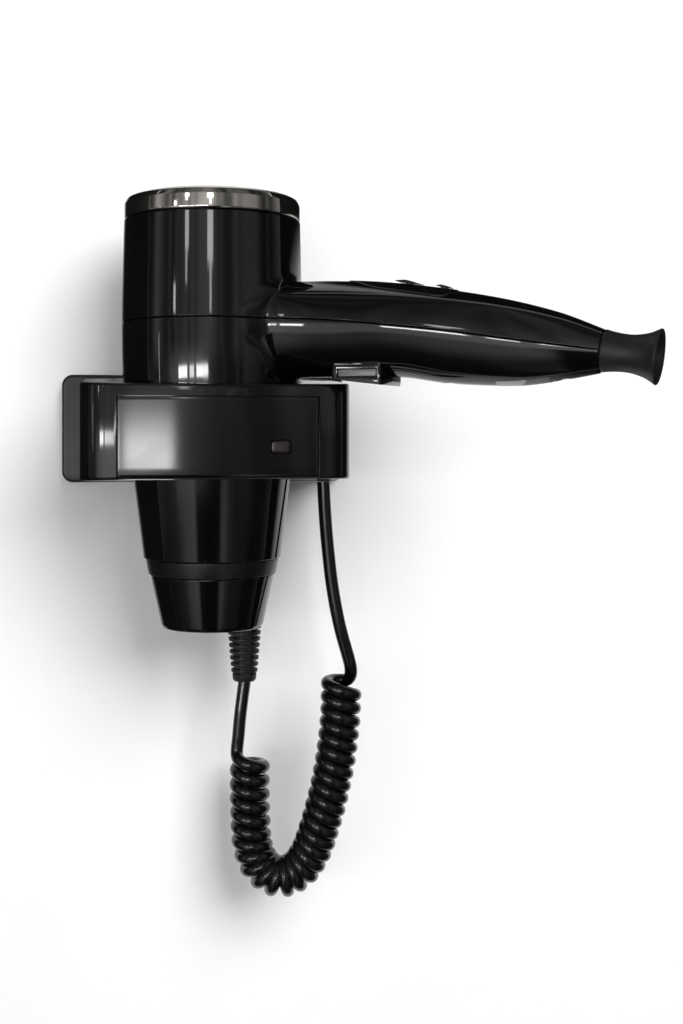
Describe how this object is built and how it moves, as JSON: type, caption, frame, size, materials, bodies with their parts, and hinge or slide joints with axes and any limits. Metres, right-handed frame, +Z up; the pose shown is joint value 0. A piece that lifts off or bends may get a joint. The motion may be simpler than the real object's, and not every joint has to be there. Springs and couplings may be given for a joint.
{
  "type": "wall-mounted hair dryer",
  "caption": "Black hair dryer standing outlet down in a ring holder on the wall, with a tapered side handle, soft bell end and a hanging curly cord.",
  "frame": {"origin": "middle of the holder's back face, on the wall", "axes": "+Y into the wall, +Z up, +X to the side that the handle points to; the object stands at negative Y"},
  "size_m": [0.2432, 0.1719, 0.3219],
  "materials": {
    "gloss_black": "polished",
    "satin_black": "satin",
    "soft_black": "soft matte",
    "cord_black": "semi-gloss",
    "dark_chrome": "polished",
    "steel": "brushed",
    "brass": "satin",
    "white_plastic": "matte",
    "grey_plastic": "polished",
    "mica": "satin",
    "lamp_red": "polished",
    "board_green": "satin",
    "label_silver": "satin",
    "filter_foam": "open cell"
  },
  "bodies": {
    "holder": {"wall_plate": "gloss_black", "ring_housing": "gloss_black", "fascia_panel": "gloss_black", "pilot_lamp": "lamp_red", "wall_screw_left": "steel", "wall_screw_right": "steel", "terminal_block": "white_plastic", "cord_gland": "soft_black", "cord_upper_lead": "cord_black", "cord_coil": "cord_black", "cord_lower_lead": "cord_black"},
    "dryer": {"rear_housing": "gloss_black", "front_housing": "gloss_black", "thumb_panel": "satin_black", "rating_label": "label_silver", "housing_screw_1": "steel", "housing_screw_2": "steel", "trigger_switch": "satin_black", "switch_board": "board_green", "trim_ring": "dark_chrome", "intake_grille": "satin_black", "intake_filter": "filter_foam", "outlet_collar": "satin_black", "outlet_grille": "steel", "bell_end": "soft_black", "strain_relief": "soft_black", "motor": "steel", "motor_mount": "white_plastic", "heater_frame": "mica", "heater_wire": "steel", "heater_sleeve": "mica", "thermal_cutout": "brass"},
    "trigger_unit": {"trigger": "gloss_black", "trigger_insert": "grey_plastic"},
    "speed_knob": {"speed_slider": "satin_black"},
    "heat_knob": {"heat_slider": "satin_black"},
    "nozzle_cone": {"nozzle": "gloss_black"},
    "rotor": {"fan": "satin_black", "motor_shaft": "steel"}
  },
  "joints": [
    {"name": "dryer_lift", "type": "slide", "parent": "holder", "child": "dryer", "axis": [0, 0, 1], "range_m": [0, 0.13]},
    {"name": "trigger_press", "type": "slide", "parent": "dryer", "child": "trigger_unit", "axis": [0, 0, 1], "range_m": [0, 0.0025], "stiffness_N_per_m": 300},
    {"name": "speed_slide", "type": "slide", "parent": "dryer", "child": "speed_knob", "axis": [0.8425, -0.5204, -0.1392], "range_m": [-0.004, 0.004]},
    {"name": "heat_slide", "type": "slide", "parent": "dryer", "child": "heat_knob", "axis": [0.8379, -0.5175, -0.1736], "range_m": [-0.003, 0.003]},
    {"name": "nozzle_turn", "type": "hinge", "parent": "dryer", "child": "nozzle_cone", "pos_m": [0, -0.058, -0.076], "axis": [0, 0, 1], "continuous": true},
    {"name": "fan_spin", "type": "hinge", "parent": "dryer", "child": "rotor", "pos_m": [0, -0.058, 0.0635], "axis": [0, 0, 1], "continuous": true}
  ]
}
